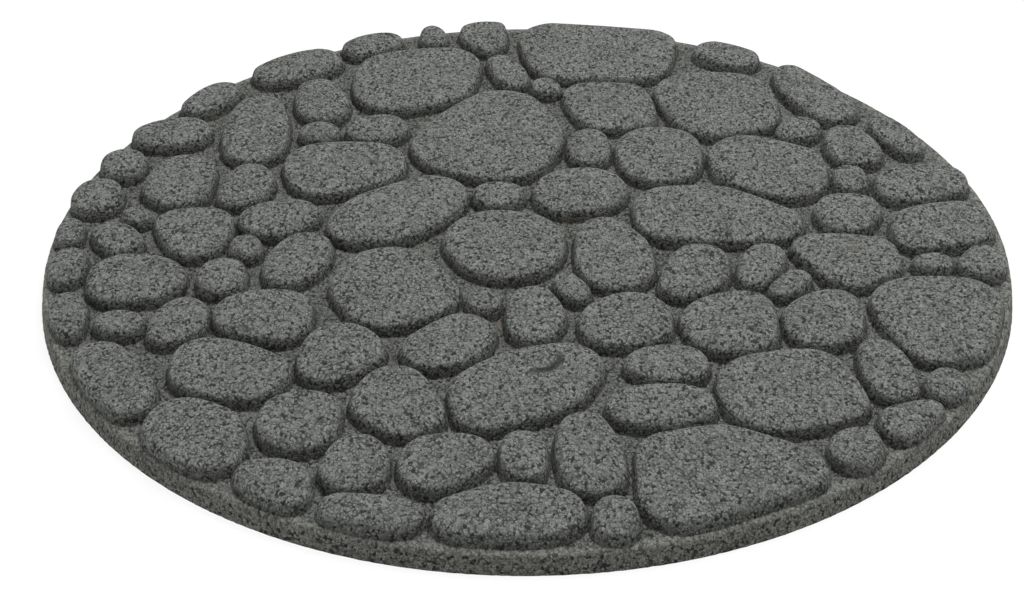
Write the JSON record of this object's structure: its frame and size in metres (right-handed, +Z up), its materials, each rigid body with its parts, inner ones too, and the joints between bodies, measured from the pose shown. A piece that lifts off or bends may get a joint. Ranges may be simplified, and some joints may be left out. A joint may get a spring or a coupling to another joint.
{
  "type": "garden stepping stone",
  "caption": "Round garden stepping mat moulded in one piece of crumb rubber, flat below, its top a bed of rounded river-stone pads with grooves between, laid on lawn or gravel as a path step.",
  "frame": {"origin": "centre of the underside, on the ground", "axes": "+Z up through the stones' tops, -Y toward the viewer of the picture, +X to the right"},
  "size_m": [0.4569, 0.457, 0.017],
  "materials": {
    "crumb_rubber": "matte grey crumb rubber, granular with small dark pits"
  },
  "bodies": {
    "root": {"stepping_stone": "crumb_rubber"}
  },
  "joints": []
}
